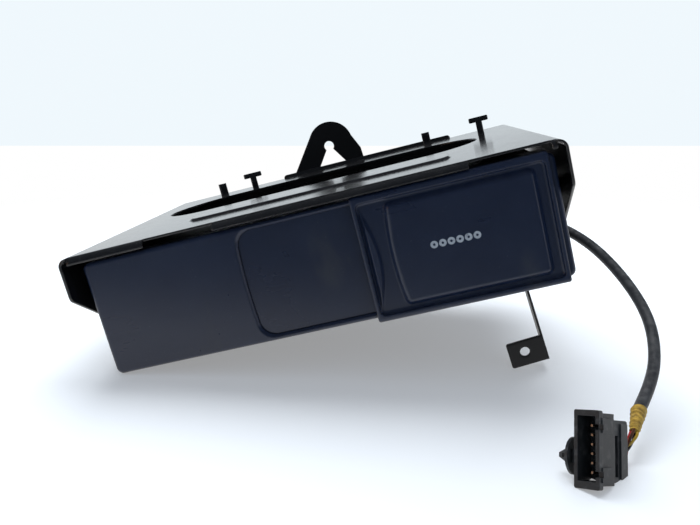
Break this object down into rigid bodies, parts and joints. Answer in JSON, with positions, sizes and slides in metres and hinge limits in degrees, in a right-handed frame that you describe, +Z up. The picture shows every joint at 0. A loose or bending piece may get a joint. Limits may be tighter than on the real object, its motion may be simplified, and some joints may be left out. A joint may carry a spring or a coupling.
{
  "type": "car disc changer",
  "caption": "Car disc changer with a sliding two-part front over a tray magazine, hung in a pressed steel bracket with a hanging eye, a bent foot and a short harness with its connector.",
  "frame": {"origin": "middle of the case's flat underside", "axes": "+X right along the front, seen from the front; +Y from the front to the rear; +Z up, square to the case's lid"},
  "size_m": [0.3107, 0.319, 0.1785],
  "materials": {
    "bracket_paint": "satin black paint over pressed steel, worn at the edges",
    "case_steel": "dark plated sheet steel",
    "front_plastic": "fine satin dark navy",
    "inner_plastic": "black moulding",
    "tray_plastic": "dark grey moulding",
    "rubber": "soft black rubber",
    "cable_jacket": "dark grey sheath",
    "screw_steel": "zinc plated",
    "black_screw": "blackened steel",
    "bright_steel": "ground steel",
    "motor_can": "drawn can",
    "board_green": "lacquered board",
    "component_black": "moulded components",
    "lens": "coated lens",
    "plug_plastic": "charcoal nylon",
    "pin_brass": "tinned",
    "tape": "yellowed tape",
    "wire": "insulated wires",
    "acetal": "natural acetal"
  },
  "bodies": {
    "chassis": {"case_tray": "case_steel", "case_cover": "case_steel", "cover_screws": "screw_steel", "fascia": "front_plastic", "inner_bezel": "inner_plastic", "eject_switch": "component_black", "magazine_cradle": "case_steel", "lift_posts": "bright_steel", "lift_gearmotor": "component_black", "main_board": "board_green", "board_stand_offs": "bright_steel", "board_parts": "component_black", "mounting_bracket": "bracket_paint", "hook_plate": "bracket_paint", "hook_rivets": "black_screw", "rubber_bushes": "rubber", "bush_screws": "black_screw", "leg_bracket": "bracket_paint", "leg_screws": "black_screw", "cable_boot": "rubber", "cable_sheath": "cable_jacket", "cable_tape": "tape", "harness_wires": "wire", "connector_shell": "plug_plastic", "connector_back": "plug_plastic", "connector_pins": "pin_brass", "connector_clip": "plug_plastic"},
    "door": {"sliding_door": "front_plastic"},
    "inner_shutter": {"shutter": "front_plastic"},
    "eject_key": {"eject_button": "tray_plastic"},
    "magazine": {"magazine_shell": "inner_plastic"},
    "deck": {"deck_frame": "case_steel", "spindle_motor": "motor_can", "guide_rods": "bright_steel", "sled_motor": "motor_can", "sled_bearing": "acetal", "arm_pin": "bright_steel", "draw_rail": "bright_steel"},
    "platter": {"turntable": "inner_plastic"},
    "sled": {"pickup_sled": "inner_plastic", "pickup_lens": "lens"},
    "drive_screw": {"sled_screw": "bright_steel"},
    "arm": {"clamp_arm": "bright_steel"},
    "puck": {"clamper": "acetal"},
    "draw_carriage": {"draw_slider": "acetal"},
    "left_cam": {"cam_plate_left": "bright_steel"},
    "rear_cam": {"cam_plate_rear": "bright_steel"},
    "pinion": {"lift_pinion": "acetal"},
    "tray_1": {"disc_tray_1": "tray_plastic"},
    "tray_2": {"disc_tray_2": "tray_plastic"},
    "tray_3": {"disc_tray_3": "tray_plastic"},
    "tray_4": {"disc_tray_4": "tray_plastic"},
    "tray_5": {"disc_tray_5": "tray_plastic"},
    "tray_6": {"disc_tray_6": "tray_plastic"}
  },
  "joints": [
    {"name": "door_slide", "type": "slide", "parent": "chassis", "child": "door", "axis": [-1, 0, 0], "range_m": [0, 0.1575]},
    {"name": "shutter_slide", "type": "slide", "parent": "chassis", "child": "inner_shutter", "axis": [-1, 0, 0], "range_m": [0, 0.0705]},
    {"name": "eject_press", "type": "slide", "parent": "chassis", "child": "eject_key", "axis": [0, 1, 0], "range_m": [0, 0.0025], "stiffness_N_per_m": 300, "springref_m": -0.001},
    {"name": "magazine_slide", "type": "slide", "parent": "chassis", "child": "magazine", "axis": [0, -1, 0], "range_m": [0, 0.0036]},
    {"name": "tray_1_slide", "type": "slide", "parent": "magazine", "child": "tray_1", "axis": [-1, 0, 0], "range_m": [0, 0.006]},
    {"name": "tray_2_slide", "type": "slide", "parent": "magazine", "child": "tray_2", "axis": [-1, 0, 0], "range_m": [0, 0.006]},
    {"name": "tray_3_slide", "type": "slide", "parent": "magazine", "child": "tray_3", "axis": [-1, 0, 0], "range_m": [0, 0.006]},
    {"name": "tray_4_slide", "type": "slide", "parent": "magazine", "child": "tray_4", "axis": [-1, 0, 0], "range_m": [0, 0.006]},
    {"name": "tray_5_slide", "type": "slide", "parent": "magazine", "child": "tray_5", "axis": [-1, 0, 0], "range_m": [0, 0.006]},
    {"name": "tray_6_slide", "type": "slide", "parent": "magazine", "child": "tray_6", "axis": [-1, 0, 0], "range_m": [0, 0.107]},
    {"name": "draw_slide", "type": "slide", "parent": "deck", "child": "draw_carriage", "axis": [-1, 0, 0], "range_m": [0, 0.1075]},
    {"name": "deck_lift", "type": "slide", "parent": "chassis", "child": "deck", "axis": [0, 0, 1], "range_m": [-0.0265, 0.0044]},
    {"name": "left_cam_slide", "type": "slide", "parent": "chassis", "child": "left_cam", "axis": [0, 1, 0], "range_m": [-0.0046, 0.0267]},
    {"name": "rear_cam_slide", "type": "slide", "parent": "chassis", "child": "rear_cam", "axis": [1, 0, 0], "range_m": [-0.0046, 0.0267]},
    {"name": "pinion_turn", "type": "hinge", "parent": "chassis", "child": "pinion", "pos_m": [-0.1245, 0.028, 0.0527], "axis": [1, 0, 0], "range_deg": [-44, 255]},
    {"name": "platter_spin", "type": "hinge", "parent": "deck", "child": "platter", "pos_m": [-0.0595, -0.0108, 0.039], "axis": [0, 0, 1], "continuous": true},
    {"name": "sled_slide", "type": "slide", "parent": "deck", "child": "sled", "axis": [0, 1, 0], "range_m": [0, 0.033]},
    {"name": "screw_turn", "type": "hinge", "parent": "deck", "child": "drive_screw", "pos_m": [-0.035, 0.02, 0.0327], "axis": [0, 1, 0], "range_deg": [-10, 3970]},
    {"name": "arm_clamp", "type": "hinge", "parent": "deck", "child": "arm", "pos_m": [-0.0595, 0.0714, 0.0525], "axis": [1, 0, 0], "range_deg": [0, 3.3]},
    {"name": "puck_spin", "type": "hinge", "parent": "arm", "child": "puck", "pos_m": [-0.0595, -0.0108, 0.0495], "axis": [0, 0, 1], "continuous": true}
  ],
  "couplings": [
    {"joint": "shutter_slide", "follows": "door_slide", "ratio": 0.44444},
    {"joint": "draw_slide", "follows": "tray_6_slide", "ratio": 1},
    {"joint": "left_cam_slide", "follows": "deck_lift", "ratio": -1},
    {"joint": "rear_cam_slide", "follows": "deck_lift", "ratio": -1},
    {"joint": "pinion_turn", "follows": "deck_lift", "rad_per_m": -166.67},
    {"joint": "screw_turn", "follows": "sled_slide", "rad_per_m": 2094.4}
  ]
}
